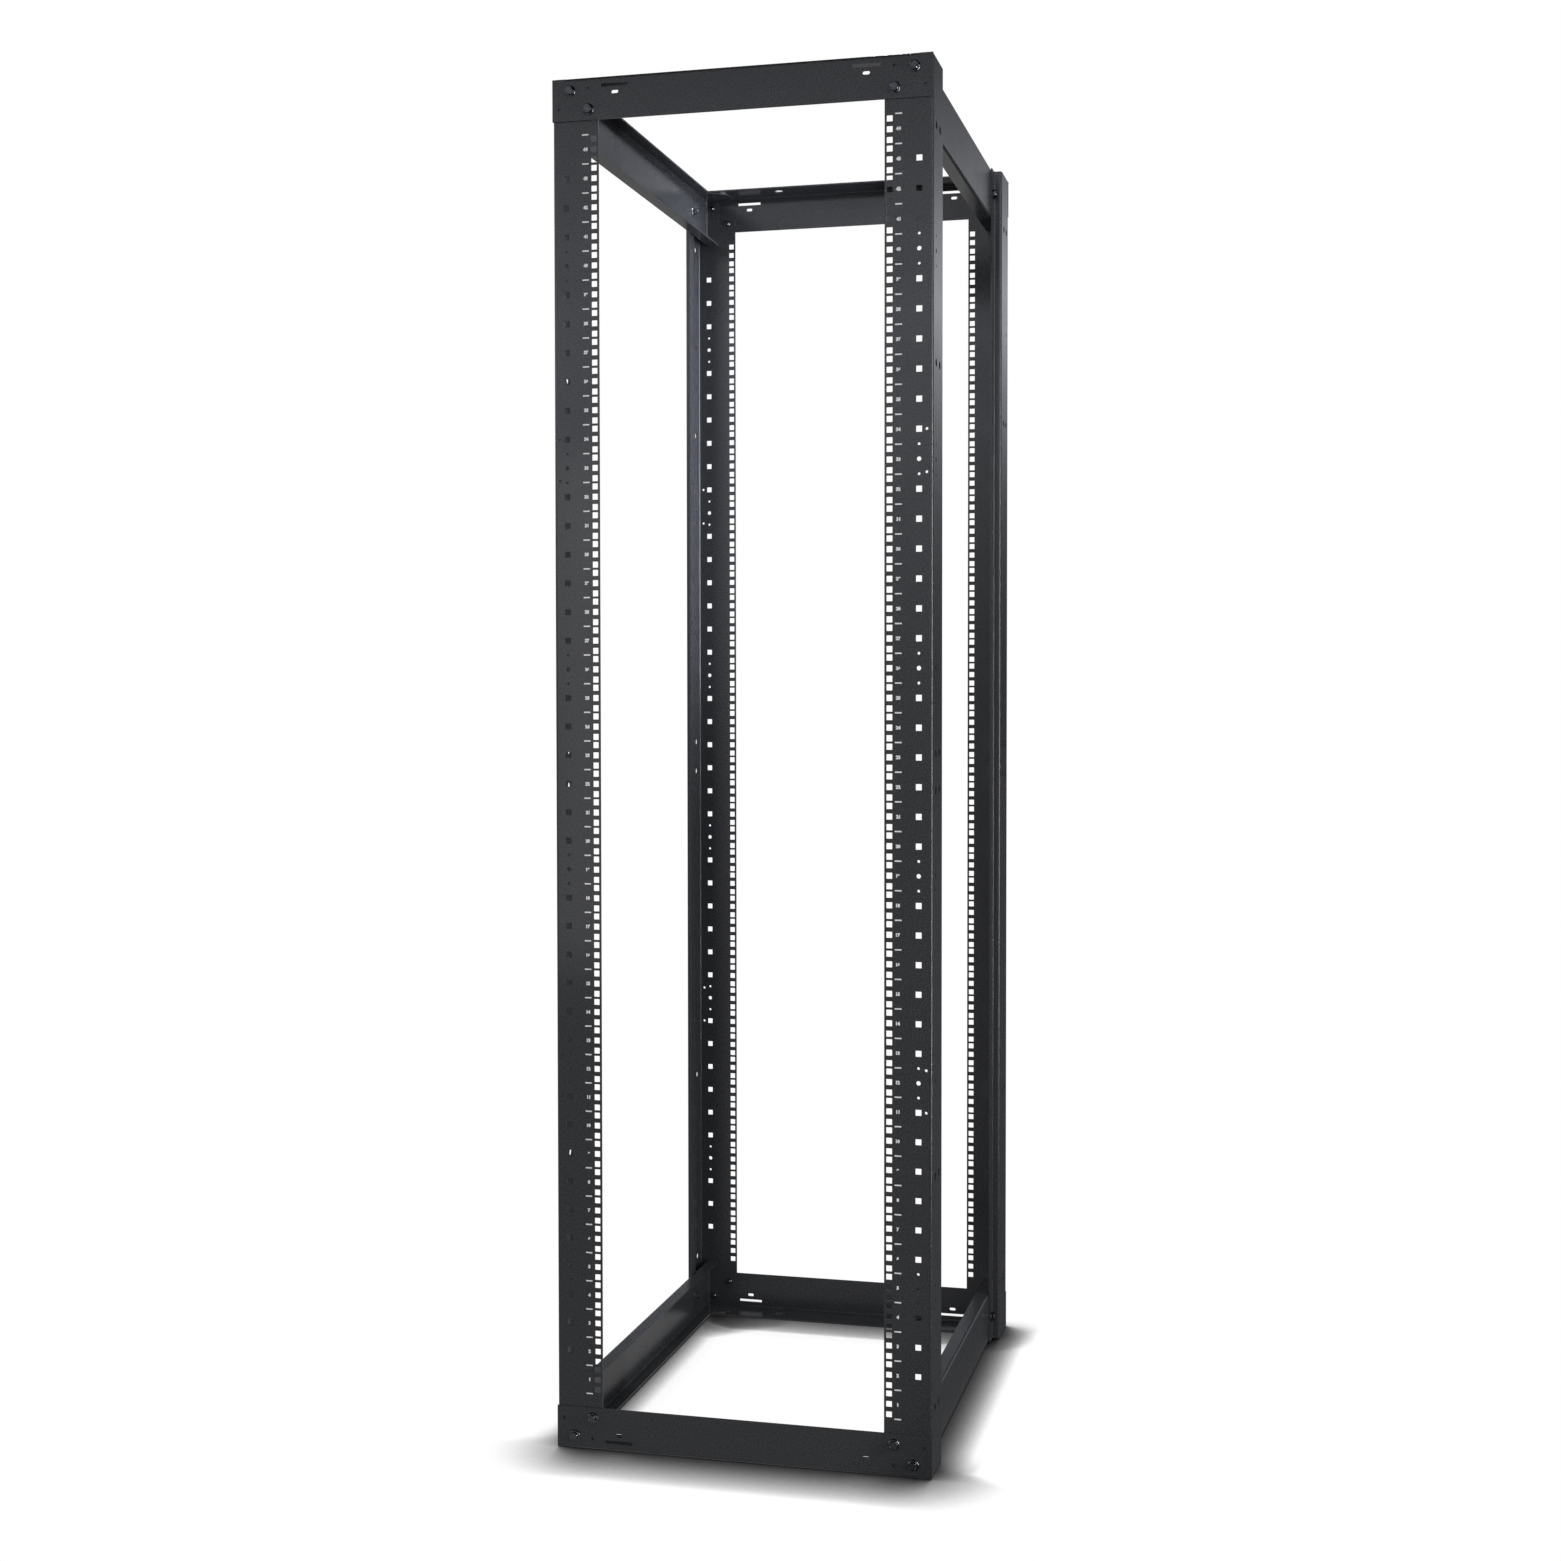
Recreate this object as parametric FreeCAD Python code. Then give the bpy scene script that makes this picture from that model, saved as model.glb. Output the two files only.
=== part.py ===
import FreeCAD, Part
import math
import os

from FreeCAD import Placement, Rotation, Vector

# Four post open frame rack for 19 inch equipment, made of folded and punched steel sheet.
# Millimetres, +Z up, X across the rack, the front at -Y. The origin is at the bottom centre.

# The sheet and its folds. The count is the number of flats that draw a fold, close to its arc.
sheet = 2.5
bend_radius = 2.0
bend_count = 3

# Rack units, counted from the bottom, and the plain stretch of post past each end of them
unit_height = 44.45
unit_count = 44
end_margin = 87.1

# Post section, from the clear opening outwards and back
clear_opening = 450.0
mounting_flange_width = 74.0
post_web_depth = 80.0
post_step = 13.5
post_return_depth = 25.0

# Square holes of the rail column, three to a unit
rail_hole_size = 9.5
rail_column_inset = 7.55

# Depth of the frame over the mounting flanges
frame_depth = 745.0

# Cross beam: an upright plate with one flange at the rack's end
beam_height = 65.5
beam_flange_depth = 61.5
beam_flange_setback = 21.0
slot_length = 44.0
slot_width = 5.0
slot_from_side = 101.5
slot_from_end = 13.7
anchor_hole_diameter = 17.0
anchor_hole_from_side = 169.0
anchor_hole_from_face = 35.0

# Side brace: a channel with folded ends and rounded tabs on the flange at the rack's end
brace_height = 87.0
brace_flange_width = 24.5
brace_tab_reach = 30.0
brace_tab_length = 55.0
brace_corner_relief = 3.0
slit_width = 2.5
slit_from_end = 85.5
upper_slit_length = 23.0
upper_slit_from_top = 10.5
lower_slit_length = 12.0
lower_slit_from_bottom = 20.0

# Worked out from the sizes above. In each unit the standard spaces the rail's holes in fourteenths.
rail_hole_first = unit_height * 2 / 14
rail_hole_step = unit_height * 5 / 14
units_height = unit_count * unit_height
rack_height = units_height + 2 * end_margin
half_width = clear_opening / 2 + mounting_flange_width
half_depth = frame_depth / 2
brace_face = half_width - post_step - sheet
brace_edge = brace_face - brace_flange_width
brace_end = half_depth - sheet
brace_top = rack_height - sheet
brace_bottom = brace_top - brace_height
fold = bend_radius + sheet
punch = 3 * sheet


def direction(start, end):
    """Unit vector from one point to another."""
    way = end - start
    return way / way.Length


def to_left(way):
    """The way turned a quarter to the left in the plane of the section."""
    return Vector(-way.y, way.x, 0)


def arc_points(centre, start, turn, flats):
    """Points along an arc about the centre, from the start and through the turn."""
    spoke = start - centre
    points = []
    for step in range(flats + 1):
        angle = turn * step / flats
        along = Vector(spoke.x * math.cos(angle) - spoke.y * math.sin(angle),
                       spoke.x * math.sin(angle) + spoke.y * math.cos(angle), 0)
        points.append(centre + along)
    return points


def folded_section(line):
    """Section of a folded sheet: one skin follows the line and the metal lies on its left."""
    near = [line[0]]
    far = [line[0] + to_left(direction(line[0], line[1])) * sheet]
    for before, corner, after in zip(line, line[1:], line[2:]):
        way_in = direction(before, corner)
        way_out = direction(corner, after)
        turn = math.atan2(way_in.cross(way_out).z, way_in.dot(way_out))
        # The line is the outer skin where it turns left and the inner one where it turns right.
        radius = bend_radius + sheet if turn > 0 else bend_radius
        side = to_left(way_in) * math.copysign(1, turn)
        start = corner - way_in * (radius * math.tan(abs(turn) / 2))
        centre = start + side * radius
        near.extend(arc_points(centre, start, turn, bend_count))
        far.extend(arc_points(centre, start + to_left(way_in) * sheet, turn, bend_count))
    near.append(line[-1])
    far.append(line[-1] + to_left(direction(line[-2], line[-1])) * sheet)
    outline = near + far[::-1]
    return Part.Face(Part.makePolygon(outline + outline[:1]))


def plate_punch(width, height, x, y, z):
    """Prism that punches a rectangular hole, centred on the point, in a sheet that faces Y."""
    return Part.makeBox(width, punch, height, Vector(x - width / 2, y - punch / 2, z - height / 2))


def post_punches():
    """Punches of the front left post's rail column."""
    front = sheet / 2 - half_depth
    rail_x = -clear_opening / 2 - rail_column_inset
    punches = []
    for unit in range(unit_count):
        for step in range(3):
            z = end_margin + unit * unit_height + rail_hole_first + step * rail_hole_step
            punches.append(plate_punch(rail_hole_size, rail_hole_size, rail_x, front, z))
    return punches


def make_post():
    """Front left post: return flange, step, side web and mounting flange of one folded sheet."""
    front = -half_depth
    web_end = front + post_web_depth
    return_face = post_step - half_width
    section = folded_section([
        Vector(return_face, web_end + post_return_depth, 0),
        Vector(return_face, web_end, 0),
        Vector(-half_width, web_end, 0),
        Vector(-half_width, front, 0),
        Vector(-clear_opening / 2, front, 0),
    ])
    section.translate(Vector(0, 0, sheet))
    post = section.extrude(Vector(0, 0, rack_height - 2 * sheet))
    return post.cut(Part.makeCompound(post_punches()))


def make_beam():
    """Front top cross beam: upright plate on the posts and a flange that points into the rack."""
    front = -half_depth - sheet
    bottom = rack_height - beam_height
    section = folded_section([
        Vector(front + beam_flange_depth, rack_height, 0),
        Vector(front, rack_height, 0),
        Vector(front, bottom, 0),
    ])
    # The section is drawn with Y and Z as its two axes, so each axis moves on by one.
    section.Placement = Placement(Vector(-half_width, 0, 0), Rotation(Vector(1, 1, 1), 120))
    beam = section.extrude(Vector(2 * half_width, 0, 0))
    cuts = []
    for x in (-half_width, half_width - beam_flange_setback):
        corner = Vector(x, front + sheet, bottom)
        cuts.append(Part.makeBox(beam_flange_setback, beam_flange_depth, beam_height, corner))
    for side in (-1, 1):
        slot_x = side * (half_width - slot_from_side)
        slot_z = rack_height - slot_from_end
        cuts.append(plate_punch(slot_length, slot_width, slot_x, front + sheet / 2, slot_z))
        anchor_x = side * (half_width - anchor_hole_from_side)
        anchor = Vector(anchor_x, front + anchor_hole_from_face, rack_height - punch / 2)
        cuts.append(Part.makeCylinder(anchor_hole_diameter / 2, punch, anchor))
    return beam.cut(Part.makeCompound(cuts))


def brace_channel():
    """Web and two flanges of half of the top left brace, from its front end to the middle."""
    section = folded_section([
        Vector(-brace_edge, brace_top, 0),
        Vector(-brace_face, brace_top, 0),
        Vector(-brace_face, brace_bottom, 0),
        Vector(-brace_edge, brace_bottom, 0),
    ])
    section.Placement = Placement(Vector(0, 0, 0), Rotation(Vector(1, 0, 0), 90))
    channel = section.extrude(Vector(0, -brace_end, 0))
    # The web stops short of the end, where the folded end takes over.
    corner = Vector(-brace_face, -brace_end, brace_bottom + fold)
    return channel.cut(Part.makeBox(fold, fold, brace_height - 2 * fold, corner))


def brace_folded_end():
    """Front end of the brace, flat against the post's mounting flange."""
    section = folded_section([
        Vector(-brace_face, 2 * fold - brace_end, 0),
        Vector(-brace_face, -brace_end, 0),
        Vector(-brace_edge, -brace_end, 0),
    ])
    low = brace_bottom + fold
    high = brace_top - fold
    section.translate(Vector(0, 0, low))
    folded = section.extrude(Vector(0, 0, high - low))
    # Above and below the flat, a relief keeps this fold apart from the two long ones.
    reliefs = []
    for z in (low, high - brace_corner_relief):
        corner = Vector(fold - brace_face, -brace_end, z)
        reliefs.append(Part.makeBox(brace_flange_width, fold, brace_corner_relief, corner))
    return folded.cut(Part.makeCompound(reliefs))


def brace_tab():
    """Rounded tab that widens the top flange at its front end, under the beam's flange."""
    inner = brace_tab_length - brace_end
    root = -brace_edge - sheet
    centre = Vector(-brace_edge, inner - brace_tab_reach, 0)
    rounded = arc_points(centre, centre + Vector(brace_tab_reach, 0, 0), math.pi / 2, 3 * bend_count)
    corners = [Vector(root, -brace_end, 0), Vector(brace_tab_reach - brace_edge, -brace_end, 0)]
    outline = corners + rounded + [Vector(root, inner, 0)]
    tab = Part.Face(Part.makePolygon(outline + outline[:1])).extrude(Vector(0, 0, sheet))
    tab.translate(Vector(0, 0, brace_top - sheet))
    return tab


def brace_slits():
    """Two upright slits in the web near its front end."""
    x = -brace_face - sheet
    y = slit_from_end - slit_width / 2 - brace_end
    upper = Vector(x, y, brace_top - upper_slit_from_top - upper_slit_length)
    lower = Vector(x, y, brace_bottom + lower_slit_from_bottom)
    return [
        Part.makeBox(punch, slit_width, upper_slit_length, upper),
        Part.makeBox(punch, slit_width, lower_slit_length, lower),
    ]


def make_brace():
    """Top left side brace, one half and its mirror image joined at the middle."""
    half = brace_channel().fuse([brace_folded_end(), brace_tab()])
    half = half.cut(Part.makeCompound(brace_slits()))
    other = half.mirror(Vector(0, 0, 0), Vector(0, 1, 0))
    return half.fuse(other).removeSplitter()


def mirrored(shape, across_x, across_y, across_z):
    """The shape mirrored to another corner of the rack."""
    result = shape
    if across_x:
        result = result.mirror(Vector(0, 0, 0), Vector(1, 0, 0))
    if across_y:
        result = result.mirror(Vector(0, 0, 0), Vector(0, 1, 0))
    if across_z:
        result = result.mirror(Vector(0, 0, rack_height / 2), Vector(0, 0, 1))
    return result


def write(name, shape):
    """Writes one piece of the rack, which has to be a single sound solid."""
    if len(shape.Solids) != 1 or not shape.Solids[0].isValid():
        raise ValueError(name + " is not one valid solid")
    shape.Solids[0].exportStep("parts/" + name + ".step")


def main():
    os.makedirs("parts", exist_ok=True)
    post = make_post()
    beam = make_beam()
    brace = make_brace()
    for end, at_rear in (("front", False), ("rear", True)):
        for side, at_right in (("left", False), ("right", True)):
            write("post_" + end + "_" + side, mirrored(post, at_right, at_rear, False))
        for level, at_floor in (("top", False), ("bottom", True)):
            write("cross_beam_" + end + "_" + level, mirrored(beam, False, at_rear, at_floor))
    for side, at_right in (("left", False), ("right", True)):
        for level, at_floor in (("top", False), ("bottom", True)):
            write("side_brace_" + side + "_" + level, mirrored(brace, at_right, False, at_floor))


main()
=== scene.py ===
import math

import bpy
import numpy as np
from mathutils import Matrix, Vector
from mathutils.geometry import delaunay_2d_cdt


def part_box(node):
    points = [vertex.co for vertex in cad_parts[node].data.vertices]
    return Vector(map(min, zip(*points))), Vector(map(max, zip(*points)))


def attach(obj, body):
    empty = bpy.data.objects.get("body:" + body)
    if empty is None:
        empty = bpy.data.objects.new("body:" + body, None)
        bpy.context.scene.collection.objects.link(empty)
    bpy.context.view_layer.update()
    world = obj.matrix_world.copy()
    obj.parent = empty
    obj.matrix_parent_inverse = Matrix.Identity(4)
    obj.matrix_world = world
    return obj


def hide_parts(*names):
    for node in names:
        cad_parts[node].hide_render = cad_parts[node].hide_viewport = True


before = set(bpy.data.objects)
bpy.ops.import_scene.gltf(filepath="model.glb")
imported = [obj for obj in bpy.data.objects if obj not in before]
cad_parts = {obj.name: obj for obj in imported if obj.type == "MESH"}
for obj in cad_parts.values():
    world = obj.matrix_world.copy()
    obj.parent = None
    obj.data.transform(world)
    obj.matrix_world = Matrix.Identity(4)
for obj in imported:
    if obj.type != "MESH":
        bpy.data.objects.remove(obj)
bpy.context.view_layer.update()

# Four post open frame rack. Every length is in millimetres until a mesh is made.
MM = 0.001

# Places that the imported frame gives
post_low, post_high = (np.array(corner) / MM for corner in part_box("post_front_left"))
beam_low, beam_high = (np.array(corner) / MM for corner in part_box("cross_beam_front_top"))
brace_low, brace_high = (np.array(corner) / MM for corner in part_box("side_brace_left_top"))
rack_height = beam_high[2]
half_width = -post_low[0]
post_front = post_low[1]
beam_front = beam_low[1]

# Sheet steel and its folds. On each flat, a narrow margin next to the fold belongs to the fold.
sheet = 2.5
fold_radius = 2.0
fold_steps = 8
fold_margin = 0.5
sharp_angle = 35.0

# Post section and its holes. Insets are measured from the flange's inner edge, depths from its
# face, and heights from the lowest unit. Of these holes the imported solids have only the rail's.
unit = 44.45
unit_count = 44
end_margin = (rack_height - unit * unit_count) / 2
post_return = 25.0
post_step = 13.5
post_web_depth = post_high[1] - post_front - post_return
flange_width = post_high[0] - post_low[0]
square_size = 9.5
square_corner = 0.7
rail_inset = 7.55
rail_rows = (6.35, 22.225, 38.1)
outer_inset = flange_width - 21.5
outer_gap_first = 4
outer_gap_every = 7
round_hole = 7.0
pin_hole = 4.4
edge_pin_inset = flange_width - 9.7
edge_pin_unit = 10.5
edge_pin_step = 64.0
web_hole = 12.5
web_hole_depths = (24.0, 53.0)
web_hole_heights = (14.0, 366.0, 950.0)

# Cross beam and its holes, measured from the rack's middle and from the beam's outer edge. The
# anchor holes are in its flange, at a depth behind the plate's face.
beam_setback = 21.0
beam_shoulder_drop = 1.0
slot_place = (197.5, 13.7)
slot_size = (44.0, 5.0)
slot_corner = 0.6
oval_place = (197.5, 24.7)
oval_size = (11.5, 5.5)
pilot_places = ((240.5, 17.2), (287.6, 47.3))
pilot_size = 5.0
anchor_place = 130.0
anchor_size = 17.0
anchor_depth = 35.0

# Bolts: two at each end of a beam, the outer one through the brace's folded end as well, and one
# through each end of a brace and the post's return flange. The hexagon is given centre to flat.
beam_bolts = ((270.5, 19.8), (240.5, 49.3))
brace_bolt_depth = 92.5
brace_face = 283.0
brace_edge = 258.5
hex_flat = 6.5
hex_corner = hex_flat / math.cos(math.pi / 6)
turned_sides = 24

# Printed unit marks, measured from the rack's middle. The weight thickens a number's strokes.
mark_span = (241.2, 251.6)
mark_height = 2.1
number_middle = 246.2
number_height = 5.8
number_weight = 0.08
print_thickness = 0.05

# Brightness of the mirrored backdrop, to the front and to the back, at sines of its elevation
backdrop_sines = (0.0, 0.05, 0.10, 0.15, 0.20, 0.25, 0.32, 0.45, 1.0)
front_levels = (0.2, 0.3, 0.6, 1.6, 4.2, 0.2, 0.0, 0.0, 0.0)
back_levels = (0.02, 0.05, 0.12, 0.5, 1.25, 0.4, 0.0, 0.0, 0.0)

# The floor's painted shadow, in metres: it changes over a strip under the front beam, from its
# reach and fall-off before the rack to those beside it. Inside, before the rear beam, it reaches
# further.
shade_change = (-0.38, -0.34)
shade_reaches = (0.115, 0.065)
shade_falls = (3.0, 5.0)
shade_inside = 0.12
floor_half = 40.0


def srgb(code):
    """Linear colour of an sRGB hex code: a power curve above 0.04045, a straight line below."""
    parts = np.array([int(code[i:i + 2], 16) for i in (1, 3, 5)]) / 255
    linear = np.where(parts <= 0.04045, parts / 12.92, ((parts + 0.055) / 1.055) ** 2.4)
    return (*linear.tolist(), 1.0)


def add_node(material, kind, settings=None, links=None):
    """Adds a node, sets its inputs (by name or number) or properties, and links its inputs."""
    node = material.node_tree.nodes.new(kind)
    for name, value in (settings or {}).items():
        if isinstance(name, int) or name in node.inputs:
            node.inputs[name].default_value = value
        else:
            setattr(node, name, value)
    for name, (source, output) in (links or {}).items():
        material.node_tree.links.new(source.outputs[output], node.inputs[name])
    return node


def new_material(name):
    """Empty node material."""
    material = bpy.data.materials.new(name)
    material.use_nodes = True
    material.node_tree.nodes.clear()
    return material


def powder_coated_steel():
    """Black polyester powder coat on steel sheet, sprayed and baked.

    It cures to a fine orange peel, so that its highlights are soft and lightly grained.
    """
    material = new_material("black_powder_coated_steel")
    place = add_node(material, "ShaderNodeTexCoord")
    # The grain of such a coat is about 0.4 mm. It is drawn at 2.5 mm, so that it shows at all.
    grain = add_node(material, "ShaderNodeTexNoise", {"Scale": 1 / (2.5 * MM), "Detail": 3.0,
                     "Roughness": 0.6}, {"Vector": (place, "Object")})
    # The film is a little thicker here and there, in patches of about 90 mm.
    patches = add_node(material, "ShaderNodeTexNoise", {"Scale": 1 / (90 * MM), "Detail": 2.0},
                       {"Vector": (place, "Object")})
    tint = add_node(material, "ShaderNodeValToRGB", {}, {"Fac": (grain, "Fac")})
    tint.color_ramp.elements[0].color = srgb("#232427")
    tint.color_ramp.elements[0].position = 0.38
    tint.color_ramp.elements[1].color = srgb("#363739")
    tint.color_ramp.elements[1].position = 0.62
    gloss = add_node(material, "ShaderNodeMapRange", {"To Min": 0.22, "To Max": 0.30},
                     {"Value": (patches, "Fac")})
    relief = add_node(material, "ShaderNodeBump", {"Strength": 0.6, "Distance": 0.15 * MM},
                      {"Height": (grain, "Fac")})
    shader = add_node(material, "ShaderNodeBsdfPrincipled", {"IOR": 1.5},
                      {"Base Color": (tint, "Color"), "Roughness": (gloss, "Result"),
                       "Normal": (relief, "Normal")})
    add_node(material, "ShaderNodeOutputMaterial", {}, {"Surface": (shader, "BSDF")})
    return material


def blackened_steel():
    """Steel bolts with a black zinc finish, rolled and tumbled: a dark metal with sharp glints."""
    material = new_material("black_zinc_steel")
    place = add_node(material, "ShaderNodeTexCoord")
    blotches = add_node(material, "ShaderNodeTexNoise", {"Scale": 1 / (3 * MM), "Detail": 2.0},
                        {"Vector": (place, "Object")})
    tint = add_node(material, "ShaderNodeValToRGB", {}, {"Fac": (blotches, "Fac")})
    tint.color_ramp.elements[0].color = srgb("#45464a")
    tint.color_ramp.elements[1].color = srgb("#6e6f74")
    gloss = add_node(material, "ShaderNodeMapRange", {"To Min": 0.18, "To Max": 0.30},
                     {"Value": (blotches, "Fac")})
    shader = add_node(material, "ShaderNodeBsdfPrincipled", {"Metallic": 1.0},
                      {"Base Color": (tint, "Color"), "Roughness": (gloss, "Result")})
    add_node(material, "ShaderNodeOutputMaterial", {}, {"Surface": (shader, "BSDF")})
    return material


def white_print():
    """White screen print on the coat: a thin matt film whose cover varies with the screen."""
    material = new_material("white_screen_print")
    place = add_node(material, "ShaderNodeTexCoord")
    cover = add_node(material, "ShaderNodeTexNoise", {"Scale": 1 / (0.8 * MM), "Detail": 2.0},
                     {"Vector": (place, "Object")})
    tint = add_node(material, "ShaderNodeValToRGB", {}, {"Fac": (cover, "Fac")})
    tint.color_ramp.elements[0].color = srgb("#d6d6d4")
    tint.color_ramp.elements[1].color = srgb("#f2f2f0")
    shader = add_node(material, "ShaderNodeBsdfPrincipled", {"IOR": 1.48, "Roughness": 0.55},
                      {"Base Color": (tint, "Color")})
    add_node(material, "ShaderNodeOutputMaterial", {}, {"Surface": (shader, "BSDF")})
    return material


def make_piece(name, points, faces, material):
    """Mesh object of the points in millimetres, smooth except at edges above the sharp angle."""
    mesh = bpy.data.meshes.new(name)
    mesh.from_pydata((np.asarray(points) * MM).tolist(), [], [face.tolist() for face in faces])
    mesh.materials.append(material)
    mesh.shade_smooth()
    mesh.set_sharp_from_angle(angle=math.radians(sharp_angle))
    piece = bpy.data.objects.new(name, mesh)
    bpy.context.scene.collection.objects.link(piece)
    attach(piece, "root")
    return piece


def mirrored(points, faces, signs, about=(0, 0, 0)):
    """Points mirrored across the middle of the rack, with the faces turned back outwards."""
    moved = (points - about) * signs + about
    turned = [face[::-1] for face in faces] if np.prod(signs) < 0 else faces
    return moved, turned


def rim(width, height, corner, steps):
    """Outline of a rounded rectangle round the origin, turning left.

    Each corner is an arc: its centre plus the corner's radius times a direction, with as many
    steps as given.
    """
    angles = np.radians((np.arange(4 * steps) + 0.5) * 90 / steps)
    directions = np.stack([np.cos(angles), np.sin(angles)], axis=1)
    inner = np.array([width / 2 - corner, height / 2 - corner])
    return np.sign(directions) * inner + directions * corner


def circle(diameter, steps):
    """Outline of a round hole round the origin, with as many steps to a quarter as given."""
    return rim(diameter, diameter, diameter / 2, steps)


def holes_at(places, outline):
    """The outline moved to each place."""
    return [outline + place for place in np.atleast_2d(np.array(places, float))]


def rectangle(low, high):
    """Outline of the rectangle between two corners, turning left."""
    return np.array([(low[0], low[1]), (high[0], low[1]), (high[0], high[1]), (low[0], high[1])])


def punched(outline, holes=()):
    """Points and triangles of a flat outline without its holes."""
    loops = [outline, *holes]
    ends = np.cumsum([len(loop) for loop in loops]).tolist()
    faces = [list(range(end - len(loop), end)) for loop, end in zip(loops, ends)]
    inside_loops, nearness = 1, 1e-6
    made = delaunay_2d_cdt(np.concatenate(loops).tolist(), [], faces, inside_loops, nearness)
    points, triangles, origins = made[0], made[2], made[5]
    # A triangle that lies in the outline and in no hole comes from loop 0 alone.
    kept = [face for face, origin in zip(triangles, origins) if origin == [0]]
    return np.array([tuple(point) for point in points]), np.array(kept)


def strips(lines, low, high):
    """Points and triangles of the long strips between neighbouring lines, from low to high."""
    points = np.stack(np.meshgrid(lines, [low, high], indexing="ij"), axis=-1).reshape(-1, 2)
    first = 2 * np.arange(len(lines) - 1)[:, None]
    return points, np.concatenate([first + (0, 2, 3), first + (0, 3, 1)])


def fold_line(corners):
    """Middle line of a folded sheet: the distance, the place and the left normal at each point.

    Each corner is an arc: its centre less the radius times the normal where the line turns left,
    or plus it where the line turns right. The normal turns evenly from one side's to the next's.
    """
    corners = np.array(corners, float)
    radius = fold_radius + sheet / 2
    ways = np.diff(corners, axis=0)
    ways /= np.hypot(ways[:, 0], ways[:, 1])[:, None]
    left = np.stack([-ways[:, 1], ways[:, 0]], axis=1)
    places = [corners[:1]]
    normals = [left[:1]]
    for k in range(1, len(corners) - 1):
        side = np.sign(np.cross(ways[k - 1], ways[k]))
        angle = np.linspace(0, math.pi / 2, fold_steps + 1)[:, None]
        normal = left[k - 1] * np.cos(angle) - ways[k - 1] * side * np.sin(angle)
        centre = corners[k] - ways[k - 1] * radius + left[k - 1] * side * radius
        places.append(centre - normal * side * radius)
        normals.append(normal)
    places = np.concatenate([*places, corners[-1:]])
    normals = np.concatenate([*normals, left[-1:]])
    steps = np.hypot(*np.diff(places, axis=0).T)
    return np.concatenate([[0], np.cumsum(steps)]), places, normals


def flat_ends(line, k):
    """Distances at which flat number k of the fold line starts and ends."""
    return line[0][k * (fold_steps + 1)], line[0][k * (fold_steps + 1) + 1]


def bent(line, blank, turn):
    """A blank laid along the fold line: middle points, normals and triangles.

    The blank's first coordinate is the distance along the line and its second the height above the
    section. The turn moves the section's two axes and the height to the rack's three.
    """
    distance, places, normals = line
    points, triangles = blank
    along = np.stack([np.interp(points[:, 0], distance, places[:, i]) for i in (0, 1)], axis=1)
    facing = np.stack([np.interp(points[:, 0], distance, normals[:, i]) for i in (0, 1)], axis=1)
    middle = np.column_stack([along, points[:, 1]])
    normal = np.column_stack([facing, np.zeros(len(points))])
    return np.roll(middle, turn, axis=1), np.roll(normal, turn, axis=1), triangles


def sheet_metal(patches):
    """Closed folded sheet from patches of its middle surface.

    The skins lie half the thickness to each side along the normals, and a wall joins them at each
    edge that belongs to one triangle only.
    """
    starts = np.cumsum([0] + [len(patch[0]) for patch in patches])
    middle = np.concatenate([patch[0] for patch in patches])
    normal = np.concatenate([patch[1] for patch in patches])
    triangles = np.concatenate([patch[2] + start for patch, start in zip(patches, starts)])
    # Points of two patches that are the same to the last 0.005 mm become one.
    keys = np.round(middle * 200).astype(int)
    first, number = np.unique(keys, axis=0, return_index=True, return_inverse=True)[1:]
    middle, normal, triangles = middle[first], normal[first], number.reshape(-1)[triangles]
    count = len(middle)
    edges = np.concatenate([triangles[:, (0, 1)], triangles[:, (1, 2)], triangles[:, (2, 0)]])
    codes = edges.min(axis=1) * count + edges.max(axis=1)
    owner, owners = np.unique(codes, return_inverse=True, return_counts=True)[1:]
    rims = edges[owners[owner.reshape(-1)] == 1]
    walls = np.column_stack([rims + count, rims[:, ::-1]])
    points = np.concatenate([middle - normal * sheet / 2, middle + normal * sheet / 2])
    return points, [*triangles, *(triangles[:, ::-1] + count), *walls]


def fold_patches(line, span, turn, flats):
    """Patches of a folded sheet: its folds as strips, and each flat as given or plain."""
    patches = []
    last = (len(line[0]) - 2) // (fold_steps + 1)
    for k in range(last + 1):
        start, end = flat_ends(line, k)
        low = start + (fold_margin if k else 0)
        high = end - (fold_margin if k < last else 0)
        blank = flats.get(k) or punched(rectangle((low, span[0]), (high, span[1])))
        patches.append(bent(line, blank, turn))
        if k < last:
            after = flat_ends(line, k + 1)[0]
            arc = line[0][(line[0] > end) & (line[0] < after)]
            knots = np.concatenate([[high, end], arc, [after, after + fold_margin]])
            patches.append(bent(line, strips(knots, *span), turn))
    return patches


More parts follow.
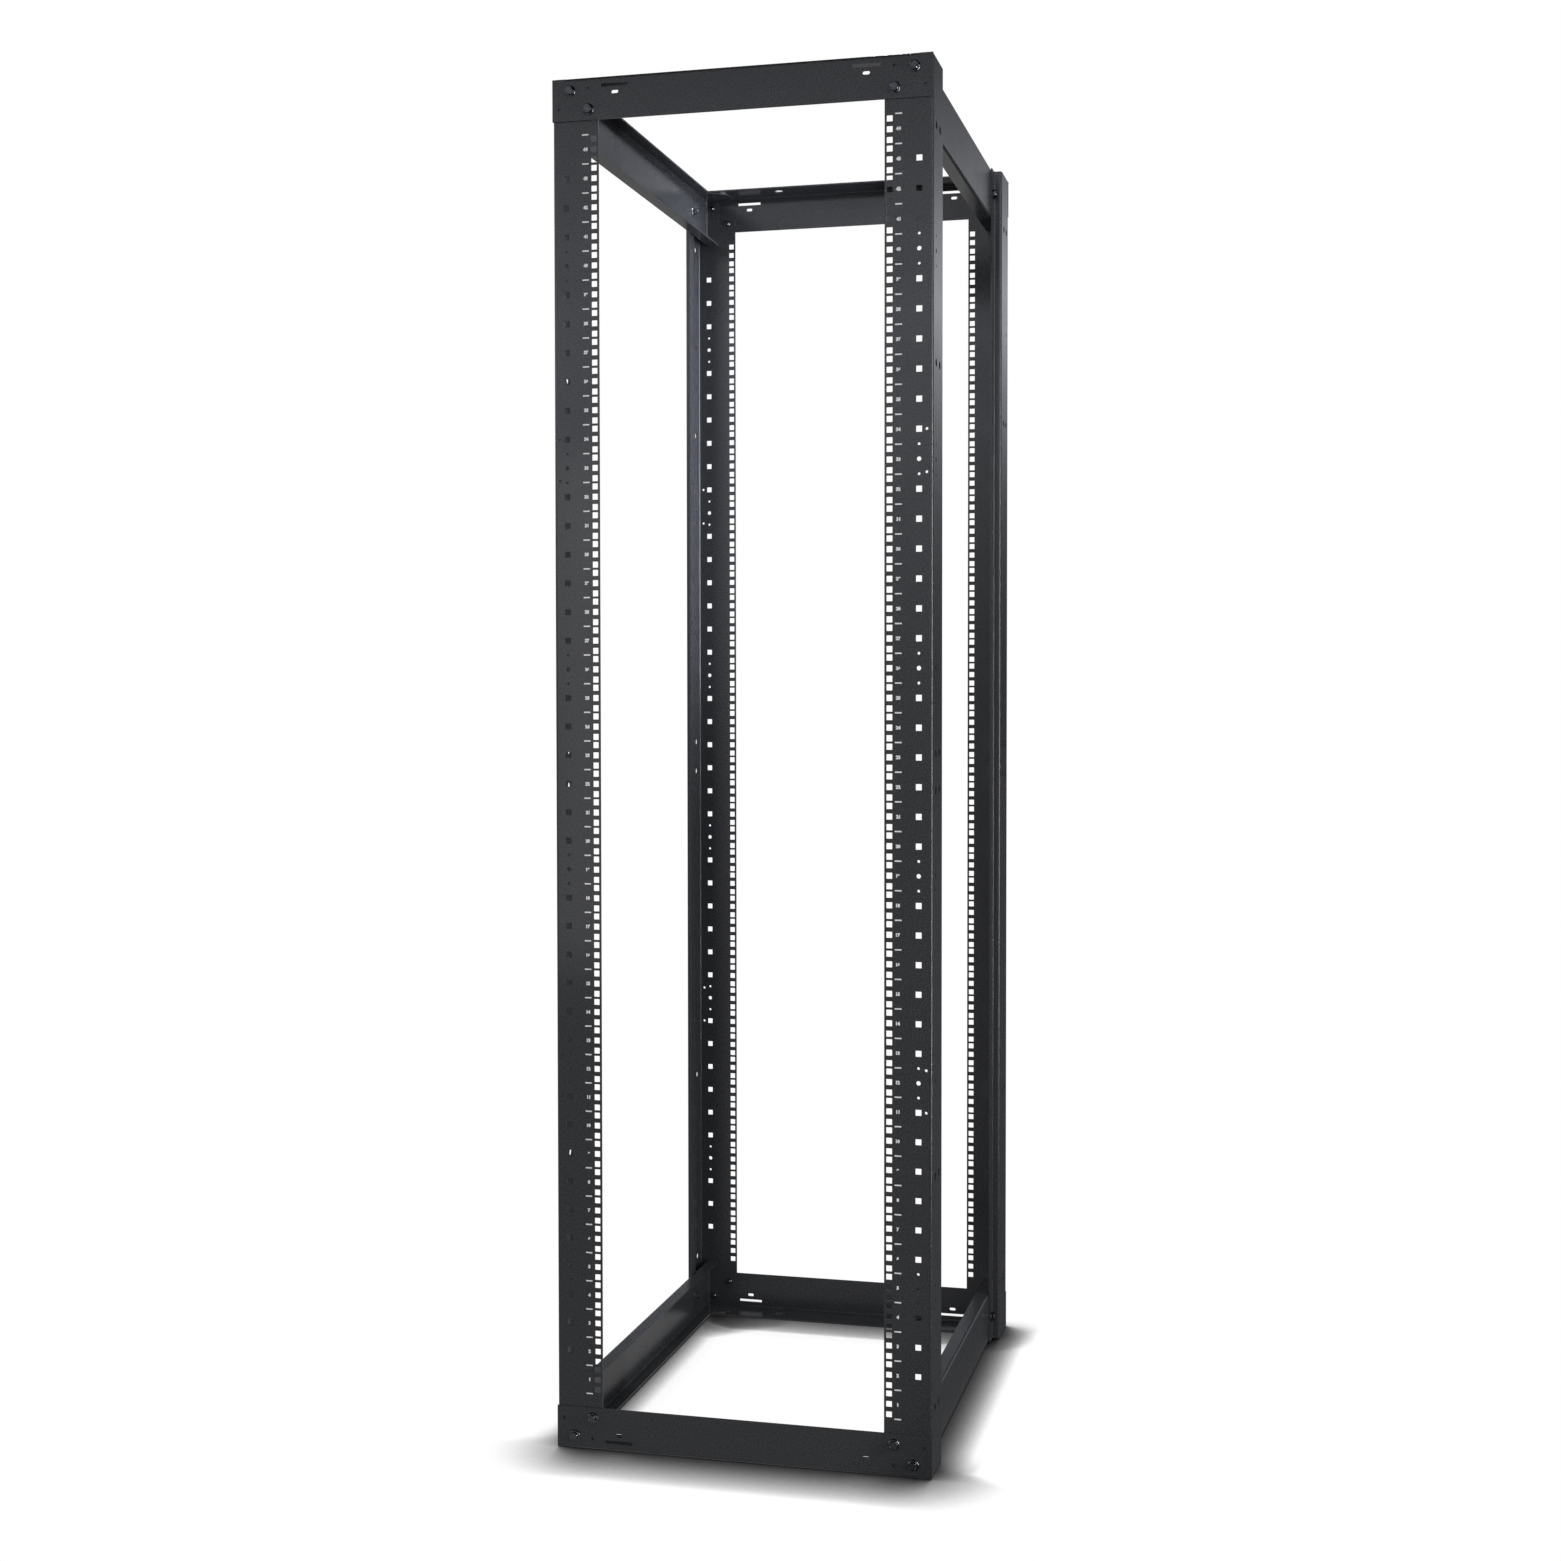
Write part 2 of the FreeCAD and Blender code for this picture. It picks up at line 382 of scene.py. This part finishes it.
def post_mesh():
    """Front left post: return flange, step, side web and mounting flange with all their holes."""
    half = sheet / 2
    web_end = post_front + post_web_depth
    return_middle = post_step - half_width + half
    line = fold_line([
        (return_middle, web_end + post_return),
        (return_middle, web_end - half),
        (half - half_width, web_end - half),
        (half - half_width, post_front + half),
        (post_high[0], post_front + half),
    ])
    span = (post_low[2], post_high[2])
    total = line[0][-1]
    units = np.arange(unit_count)
    gaps = np.arange(outer_gap_first, unit_count, outer_gap_every)
    inner_units = units[1:-1]
    outer_units = inner_units[(inner_units - outer_gap_first) % outer_gap_every != 0]
    rail = [(total - rail_inset, end_margin + unit * u + row) for u in units for row in rail_rows]
    outer = [(total - outer_inset, end_margin + unit * (u + 0.5)) for u in outer_units]
    rounds = [(total - outer_inset, end_margin + unit * (u + 0.5)) for u in gaps]
    pins = [(total - outer_inset, end_margin + unit * (u + k)) for u in gaps for k in (0, 1)]
    edge_heights = [end_margin + edge_pin_unit * unit + more for more in (0, edge_pin_step)]
    edge_heights += [rack_height - height for height in edge_heights]
    edge_pins = [(total - edge_pin_inset, height) for height in edge_heights]
    square = rim(square_size, square_size, square_corner, 2)
    flange_start = flat_ends(line, 3)[0] + fold_margin
    flange = punched(rectangle((flange_start, span[0]), (total, span[1])),
                     holes_at(rail + outer, square)
                     + holes_at(rounds, circle(round_hole, 5))
                     + holes_at(pins + edge_pins, circle(pin_hole, 4)))
    # On the side web a hole's place is its depth behind the mounting flange's face.
    web_start, web_stop = flat_ends(line, 2)
    to_distance = web_stop + fold_radius + sheet
    heights = [end_margin + height for height in web_hole_heights]
    heights += [rack_height - height for height in heights]
    web_rounds = [(to_distance - depth, height) for depth in web_hole_depths for height in heights]
    # Behind each group of round holes in the flange, the web has the same group.
    web_column = to_distance - web_hole_depths[0]
    web_groups = [(web_column, height) for _, height in rounds]
    web_pins = [(web_column, height) for _, height in pins]
    web = punched(rectangle((web_start + fold_margin, span[0]), (web_stop - fold_margin, span[1])),
                  holes_at(web_rounds, circle(web_hole, 5))
                  + holes_at(web_groups, circle(round_hole, 5))
                  + holes_at(web_pins, circle(pin_hole, 4)))
    return sheet_metal(fold_patches(line, span, 0, {2: web, 3: flange}))


def beam_mesh():
    """Front top beam: upright plate and the flange at the rack's end, with all their holes."""
    half = sheet / 2
    line = fold_line([
        (beam_front + half, beam_low[2]),
        (beam_front + half, rack_height - half),
        (beam_high[1], rack_height - half),
    ])
    span = (beam_setback - half_width, half_width - beam_setback)
    plate_end = flat_ends(line, 0)[1]
    plate_top = plate_end + fold_radius + sheet - beam_shoulder_drop
    shoulder = plate_end - fold_margin
    outline = np.array([
        (0, -half_width), (plate_top, -half_width), (plate_top, span[0]), (shoulder, span[0]),
        (shoulder, span[1]), (plate_top, span[1]), (plate_top, half_width), (0, half_width),
    ])
    height = rack_height - beam_low[2]
    holes = []
    for side in (-1, 1):
        holes += holes_at((height - slot_place[1], side * slot_place[0]),
                          rim(slot_size[1], slot_size[0], slot_corner, 2))
        holes += holes_at((height - oval_place[1], side * oval_place[0]),
                          rim(oval_size[1], oval_size[0], oval_size[1] / 2, 5))
        pilots = [(height - drop, side * x) for x, drop in pilot_places]
        holes += holes_at(pilots, circle(pilot_size, 4))
    points, triangles = punched(outline, holes)
    # The plate's ends stand straight up past the fold, so the plate is laid on its own flat.
    middle = np.column_stack([points[:, 1], np.full(len(points), beam_front + half),
                              points[:, 0] + beam_low[2]])
    normal = np.tile([0.0, -1.0, 0.0], (len(points), 1))
    flange_start, flange_end = flat_ends(line, 1)
    # On the flange a hole's place is its depth behind the plate's outer face.
    to_distance = flange_start - fold_radius - sheet
    anchors = [(to_distance + anchor_depth, side * anchor_place) for side in (-1, 1)]
    flange = punched(rectangle((flange_start + fold_margin, span[0]), (flange_end, span[1])),
                     holes_at(anchors, circle(anchor_size, 8)))
    patches = fold_patches(line, span, 1, {1: flange})
    return sheet_metal([(middle, normal, triangles), *patches[1:]])


def turned(rows):
    """Closed turned form with flats: at each height its reach is a circle's or a hexagon's.

    A row holds the circle's radius, the hexagon's distance from centre to flat, and the height,
    and the shorter reach counts.
    """
    rows = np.array(rows, float)
    sides = turned_sides
    angle = np.arange(sides) * 2 * math.pi / sides
    to_flat = (angle + math.pi / 6) % (math.pi / 3) - math.pi / 6
    reach = np.minimum(rows[:, :1], rows[:, 1:2] / np.cos(to_flat))
    ring = np.stack([reach * np.cos(angle), reach * np.sin(angle),
                     np.repeat(rows[:, 2:], sides, axis=1)], axis=-1)
    points = np.concatenate([ring.reshape(-1, 3), [(0, 0, rows[0, 2]), (0, 0, rows[-1, 2])]])
    here = np.arange(sides)
    after = (here + 1) % sides
    base = np.arange(len(rows) - 1)[:, None] * sides
    above = base + sides
    quads = np.stack([base + here, base + after, above + after, above + here], axis=-1)
    last = (len(rows) - 1) * sides
    floor_cap = np.column_stack([after, here, np.full(sides, len(points) - 2)])
    top_cap = np.column_stack([here + last, after + last, np.full(sides, len(points) - 1)])
    return points, [*quads.reshape(-1, 4), *floor_cap, *top_cap]


def stood(form, centre, axis, spin):
    """A turned form moved to its centre, its height along the axis, and spun about it."""
    points, faces = form
    turn = Vector((0, 0, 1)).rotation_difference(Vector(axis)).to_matrix()
    cos, sin = math.cos(spin), math.sin(spin)
    spun = points @ np.array([(cos, sin, 0), (-sin, cos, 0), (0, 0, 1)])
    return spun @ np.array(turn).T + centre, faces


def joined(forms):
    """Several forms as one mesh."""
    starts = np.cumsum([0] + [len(points) for points, faces in forms])
    points = np.concatenate([points for points, faces in forms])
    return points, [face + start for (_, faces), start in zip(forms, starts) for face in faces]


# Where a row has no flats, its hexagon is out of reach. Each form starts just inside the sheet.
no_flats = 99.0
flange_bolt = turned([
    (9.0, no_flats, -0.5),
    (9.0, no_flats, 0.9),
    (8.6, no_flats, 1.4),
    (hex_corner + 0.2, no_flats, 2.2),
    (hex_corner, hex_flat, 2.4),
    (hex_corner, hex_flat, 6.0),
    (hex_flat - 0.2, no_flats, 6.9),
    (hex_flat - 1.3, no_flats, 6.9),
    (hex_flat - 1.9, no_flats, 6.4),
])
flange_nut = turned([
    (8.6, no_flats, -0.5),
    (8.6, no_flats, 0.9),
    (8.2, no_flats, 1.3),
    (hex_corner, hex_flat, 2.2),
    (hex_corner, hex_flat, 6.6),
    (hex_flat - 0.2, no_flats, 7.4),
    (4.2, no_flats, 7.4),
    (3.9, no_flats, 7.2),
    (3.9, no_flats, 10.2),
    (3.3, no_flats, 10.8),
])
pressed_nut = turned([
    (5.6, no_flats, -0.5),
    (5.6, no_flats, 1.2),
    (5.2, no_flats, 1.6),
    (4.1, no_flats, 1.6),
    (3.9, no_flats, 1.4),
    (3.9, no_flats, 3.2),
    (3.3, no_flats, 3.8),
])


def add_bolts(material, nut_material):
    """Bolt heads outside, pressed nuts inside the beams' ends and welded nuts inside the braces."""
    rng = np.random.default_rng(7)
    sixth = math.pi / 3
    for end, back in (("front", 1), ("rear", -1)):
        for level, at_floor in (("top", False), ("bottom", True)):
            forms = []
            for x, drop in beam_bolts:
                height = drop if at_floor else rack_height - drop
                grip = post_front + (2 * sheet if x > brace_edge else sheet)
                for side in (-1, 1):
                    spins = rng.uniform(0, sixth, 2)
                    forms.append(stood(flange_bolt, (side * x, back * beam_front, height),
                                       (0, -back, 0), spins[0]))
                    forms.append(stood(pressed_nut, (side * x, back * grip, height),
                                       (0, back, 0), spins[1]))
            make_piece(f"beam_bolts_{end}_{level}", *joined(forms), material)
    middle_height = (brace_low[2] + brace_high[2]) / 2
    outside = half_width - post_step
    inside = brace_face - sheet
    for side, name in ((-1, "left"), (1, "right")):
        bolts, nuts = [], []
        for height in (middle_height, rack_height - middle_height):
            for back in (-1, 1):
                y = back * (-post_front - brace_bolt_depth)
                spins = rng.uniform(0, sixth, 2)
                bolts.append(stood(flange_bolt, (side * outside, y, height),
                                   (side, 0, 0), spins[0]))
                nuts.append(stood(flange_nut, (side * inside, y, height),
                                  (-side, 0, 0), spins[1]))
        make_piece(f"brace_bolts_{name}", *joined(bolts), material)
        make_piece(f"brace_nuts_{name}", *joined(nuts), nut_material)


def number_mesh(text):
    """A printed number as flat points and faces, centred, at its real height."""
    curve = bpy.data.curves.new("number", "FONT")
    curve.body = text
    curve.align_x = "CENTER"
    curve.align_y = "CENTER"
    curve.resolution_u = 2
    curve.offset = number_weight
    carrier = bpy.data.objects.new("number", curve)
    mesh = bpy.data.meshes.new_from_object(carrier)
    points = np.zeros(len(mesh.vertices) * 3)
    mesh.vertices.foreach_get("co", points)
    points = points.reshape(-1, 3)[:, :2]
    faces = [np.array(polygon.vertices) for polygon in mesh.polygons]
    bpy.data.meshes.remove(mesh)
    bpy.data.objects.remove(carrier)
    bpy.data.curves.remove(curve)
    middle = (points.max(axis=0) + points.min(axis=0)) / 2
    return (points - middle) * number_height / np.ptp(points[:, 1]), faces


def add_marks(material):
    """Unit lines and numbers on each post's mounting flange, read from its own end of the rack."""
    bar = rectangle((-1, -1), (1, 1)) / 2 * (mark_span[1] - mark_span[0], mark_height)
    bar_middle = sum(mark_span) / 2
    numbers = [number_mesh(str(u + 1)) for u in range(unit_count)]
    for end, back in (("front", 1), ("rear", -1)):
        for name, side in (("left", -1), ("right", 1)):
            forms = []
            for u in range(unit_count + 1):
                at = (side * back * bar_middle, end_margin + u * unit)
                forms.append((bar + at, [np.arange(4)]))
            for u, (points, faces) in enumerate(numbers):
                at = (side * back * number_middle, end_margin + (u + 0.5) * unit)
                forms.append((points + at, faces))
            points, faces = joined(forms)
            # The print is seen along +Y at the front and along -Y at the rear.
            y = np.full(len(points), back * (post_front - print_thickness))
            placed = np.column_stack([back * points[:, 0], y, points[:, 1]])
            make_piece(f"unit_marks_{end}_{name}", placed, faces, material)


def add_floor():
    """Pale studio floor, white to the camera and darker near what stands on it.

    To the camera it glows, and its glow is the share of open sky above it, to a power: a painted
    shadow, soft and close, that the lamps do not cast. The share leans to the back and is counted
    within a reach. The reach and the power change from the front to the rear. In mirrored rays
    the floor is dimmed, most of all on the right, and it throws little light up.
    """
    material = new_material("pale_studio_floor")
    path = add_node(material, "ShaderNodeLightPath")
    seen = add_node(material, "ShaderNodeMath", {"operation": "MAXIMUM"},
                    {0: (path, "Is Camera Ray"), 1: (path, "Is Transmission Ray")})
    lean = add_node(material, "ShaderNodeCombineXYZ", {"X": -0.25, "Y": 0.72, "Z": 0.65})
    place = add_node(material, "ShaderNodeTexCoord")
    parts = add_node(material, "ShaderNodeSeparateXYZ", {}, {"Vector": (place, "Object")})
    # The painted shadow reaches further in front of the rack, and inside it before the rear beam.
    before = add_node(material, "ShaderNodeMapRange",
                      {"From Min": shade_change[0], "From Max": shade_change[1],
                       "To Min": shade_reaches[0], "To Max": shade_reaches[1]},
                      {"Value": (parts, "Y")})
    at_rear = add_node(material, "ShaderNodeMapRange",
                       {"From Min": 0.18, "From Max": 0.28, "To Min": 0.0, "To Max": shade_inside},
                       {"Value": (parts, "Y")})
    aside = add_node(material, "ShaderNodeMath", {"operation": "ABSOLUTE"}, {0: (parts, "X")})
    inside = add_node(material, "ShaderNodeMapRange",
                      {"From Min": 0.20, "From Max": 0.28, "To Min": 1.0, "To Max": 0.0},
                      {"Value": (aside, "Value")})
    shade_reach = add_node(material, "ShaderNodeMath", {"operation": "MULTIPLY_ADD"},
                           {0: (at_rear, "Result"), 1: (inside, "Result"), 2: (before, "Result")})
    openness = add_node(material, "ShaderNodeAmbientOcclusion", {"samples": 16},
                        {"Normal": (lean, "Vector"), "Distance": (shade_reach, "Value")})
    # Beside and inside the rack it falls off more steeply.
    fall = add_node(material, "ShaderNodeMapRange",
                    {"From Min": shade_change[0], "From Max": shade_change[1],
                     "To Min": shade_falls[0], "To Max": shade_falls[1]},
                    {"Value": (parts, "Y")})
    depth = add_node(material, "ShaderNodeMath", {"operation": "POWER"},
                     {0: (openness, "AO"), 1: (fall, "Result")})
    # The floor glows white to the camera, darkened by this painted shadow.
    painted_shadow_glow = add_node(material, "ShaderNodeEmission", {"Color": (1, 1, 1, 1)},
                    {"Strength": (depth, "Value")})
    dimmed = add_node(material, "ShaderNodeMapRange",
                      {"From Min": 0.15, "From Max": 0.3, "To Min": 0.34, "To Max": 0.05},
                      {"Value": (parts, "X")})
    mirrored_glow = add_node(material, "ShaderNodeEmission", {"Color": (1, 1, 1, 1)},
                             {"Strength": (dimmed, "Result")})
    matt = add_node(material, "ShaderNodeBsdfDiffuse", {"Color": srgb("#78787a")})
    unseen = add_node(material, "ShaderNodeMixShader", {},
                      {0: (path, "Is Glossy Ray"), 1: (matt, "BSDF"),
                       2: (mirrored_glow, "Emission")})
    both = add_node(material, "ShaderNodeMixShader", {},
                    {0: (seen, "Value"), 1: (unseen, "Shader"), 2: (painted_shadow_glow, "Emission")})
    add_node(material, "ShaderNodeOutputMaterial", {}, {"Surface": (both, "Shader")})
    mesh = bpy.data.meshes.new("studio_floor")
    corners = rectangle((-floor_half, -floor_half), (floor_half, floor_half))
    mesh.from_pydata(np.column_stack([corners, np.zeros(4)]).tolist(), [], [(0, 1, 2, 3)])
    mesh.materials.append(material)
    floor = bpy.data.objects.new("studio_floor", mesh)
    bpy.context.scene.collection.objects.link(floor)


def add_world():
    """White backdrop to the camera, and for the object an even light and a long soft box to mirror.

    Glossy rays see the backdrop too, dimmed by a ramp over the height: dark at the ground, bright
    where a long soft box hangs, at about 12 degrees, and dark again above it.
    """
    world = bpy.data.worlds.new("studio_world")
    bpy.context.scene.world = world
    world.use_nodes = True
    world.node_tree.nodes.clear()
    path = add_node(world, "ShaderNodeLightPath")
    place = add_node(world, "ShaderNodeTexCoord")
    way = add_node(world, "ShaderNodeSeparateXYZ", {}, {"Vector": (place, "Generated")})
    # To the back the long box ends a little to the right of the rack.
    aside = add_node(world, "ShaderNodeMapRange",
                     {"From Min": 0.3, "From Max": 0.42, "To Min": 1.0, "To Max": 0.2},
                     {"Value": (way, "X")})
    halves = []
    for levels, share in ((front_levels, None), (back_levels, aside)):
        ramp = add_node(world, "ShaderNodeValToRGB", {}, {"Fac": (way, "Z")})
        for sine in backdrop_sines[1:-1]:
            ramp.color_ramp.elements.new(sine)
        for element, level in zip(ramp.color_ramp.elements, levels):
            element.color = (level, level, level, 1)
        strength = (ramp, "Color")
        if share:
            strength = (add_node(world, "ShaderNodeMath", {"operation": "MULTIPLY"},
                                 {0: strength, 1: (share, "Result")}), "Value")
        halves.append(add_node(world, "ShaderNodeBackground", {"Color": srgb("#f4f6ff")},
                               {"Strength": strength}))
    backness = add_node(world, "ShaderNodeMapRange", {"From Min": -0.3, "From Max": 0.3},
                        {"Value": (way, "Y")})
    box = add_node(world, "ShaderNodeMixShader", {},
                   {0: (backness, "Result"), 1: (halves[0], "Background"),
                    2: (halves[1], "Background")})
    # The even light comes from the sides more than from above.
    evenness = add_node(world, "ShaderNodeMapRange",
                        {"From Min": 0.0, "From Max": 0.5, "To Min": 1.8, "To Max": 0.6},
                        {"Value": (way, "Z")})
    soft = add_node(world, "ShaderNodeBackground", {"Color": srgb("#f3f4f6")},
                    {"Strength": (evenness, "Result")})
    white = add_node(world, "ShaderNodeBackground", {"Color": (1, 1, 1, 1), "Strength": 1.0})
    lit = add_node(world, "ShaderNodeMixShader", {},
                   {0: (path, "Is Glossy Ray"), 1: (soft, "Background"), 2: (box, "Shader")})
    seen = add_node(world, "ShaderNodeMath", {"operation": "MAXIMUM"},
                    {0: (path, "Is Camera Ray"), 1: (path, "Is Transmission Ray")})
    both = add_node(world, "ShaderNodeMixShader", {},
                    {0: (seen, "Value"), 1: (lit, "Shader"), 2: (white, "Background")})
    add_node(world, "ShaderNodeOutputWorld", {}, {"Surface": (both, "Shader")})


def add_lamp(name, place, target, width, height, power, colour="#ffffff", fan=180):
    """Rectangular soft box that faces its target, its light fanned out over an angle in degrees."""
    lamp = bpy.data.lights.new(name, "AREA")
    lamp.shape = "RECTANGLE"
    lamp.size = width
    lamp.size_y = height
    lamp.energy = power
    lamp.color = srgb(colour)[:3]
    lamp.spread = math.radians(fan)
    holder = bpy.data.objects.new(name, lamp)
    holder.visible_camera = False
    holder.location = place
    holder.rotation_mode = "QUATERNION"
    way = Vector(target) - Vector(place)
    holder.rotation_quaternion = way.to_track_quat("-Z", "Y")
    bpy.context.scene.collection.objects.link(holder)


def add_camera():
    """Camera at the photograph's place and angle, level from side to side."""
    data = bpy.data.cameras.new("photo_camera")
    data.sensor_width = 36.0
    data.lens = 45.294
    data.shift_x = -0.04465
    data.shift_y = -0.01736
    camera = bpy.data.objects.new("photo_camera", data)
    camera.location = (0.8410, -3.2498, 1.1725)
    camera.rotation_mode = "QUATERNION"
    way = Vector((-0.2262, 0.9737, -0.0270))
    camera.rotation_quaternion = way.to_track_quat("-Z", "Y")
    bpy.context.scene.collection.objects.link(camera)
    bpy.context.scene.camera = camera


coat = powder_coated_steel()
fastener_steel = blackened_steel()
ink = white_print()

post = post_mesh()
for end, across in (("front", 1), ("rear", -1)):
    for side, over in (("left", 1), ("right", -1)):
        node = f"post_{end}_{side}"
        piece = make_piece(f"punched_{node}", *mirrored(*post, (over, across, 1)), coat)
        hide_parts(node)

beam = beam_mesh()
for end, across in (("front", 1), ("rear", -1)):
    for level, up in (("top", 1), ("bottom", -1)):
        node = f"cross_beam_{end}_{level}"
        middle = (0, 0, rack_height / 2)
        piece = make_piece(f"punched_{node}", *mirrored(*beam, (1, across, up), middle), coat)
        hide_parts(node)

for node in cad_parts.values():
    node.data.materials.clear()
    node.data.materials.append(coat)

# The welded nuts are sprayed together with the braces.
add_bolts(fastener_steel, coat)
add_marks(ink)

add_floor()
add_world()
# A weak strip at the front left and a strong one on the right. The other two light the left rear
# post's inner side, one from above and one from inside the rack.
add_lamp("strip_left", (-0.42, -0.80, 1.15), (-0.29, -0.4, 1.15),
         width=0.12, height=0.9, power=0.3)
add_lamp("strip_right", (2.4, -0.85, 1.0), (0.3, -0.25, 1.0),
         width=0.1, height=2.2, power=50)
add_lamp("key_above", (0.15, 0.30, 2.45), (-0.3, 0.33, 1.9),
         width=0.3, height=0.2, power=8, colour="#f0f4ff")
add_lamp("inner_side", (0.10, 0.31, 1.65), (-0.3, 0.31, 1.65),
         width=0.3, height=0.9, power=3.5, colour="#eef2ff", fan=90)
add_camera()
bpy.context.scene.view_settings.view_transform = "Standard"
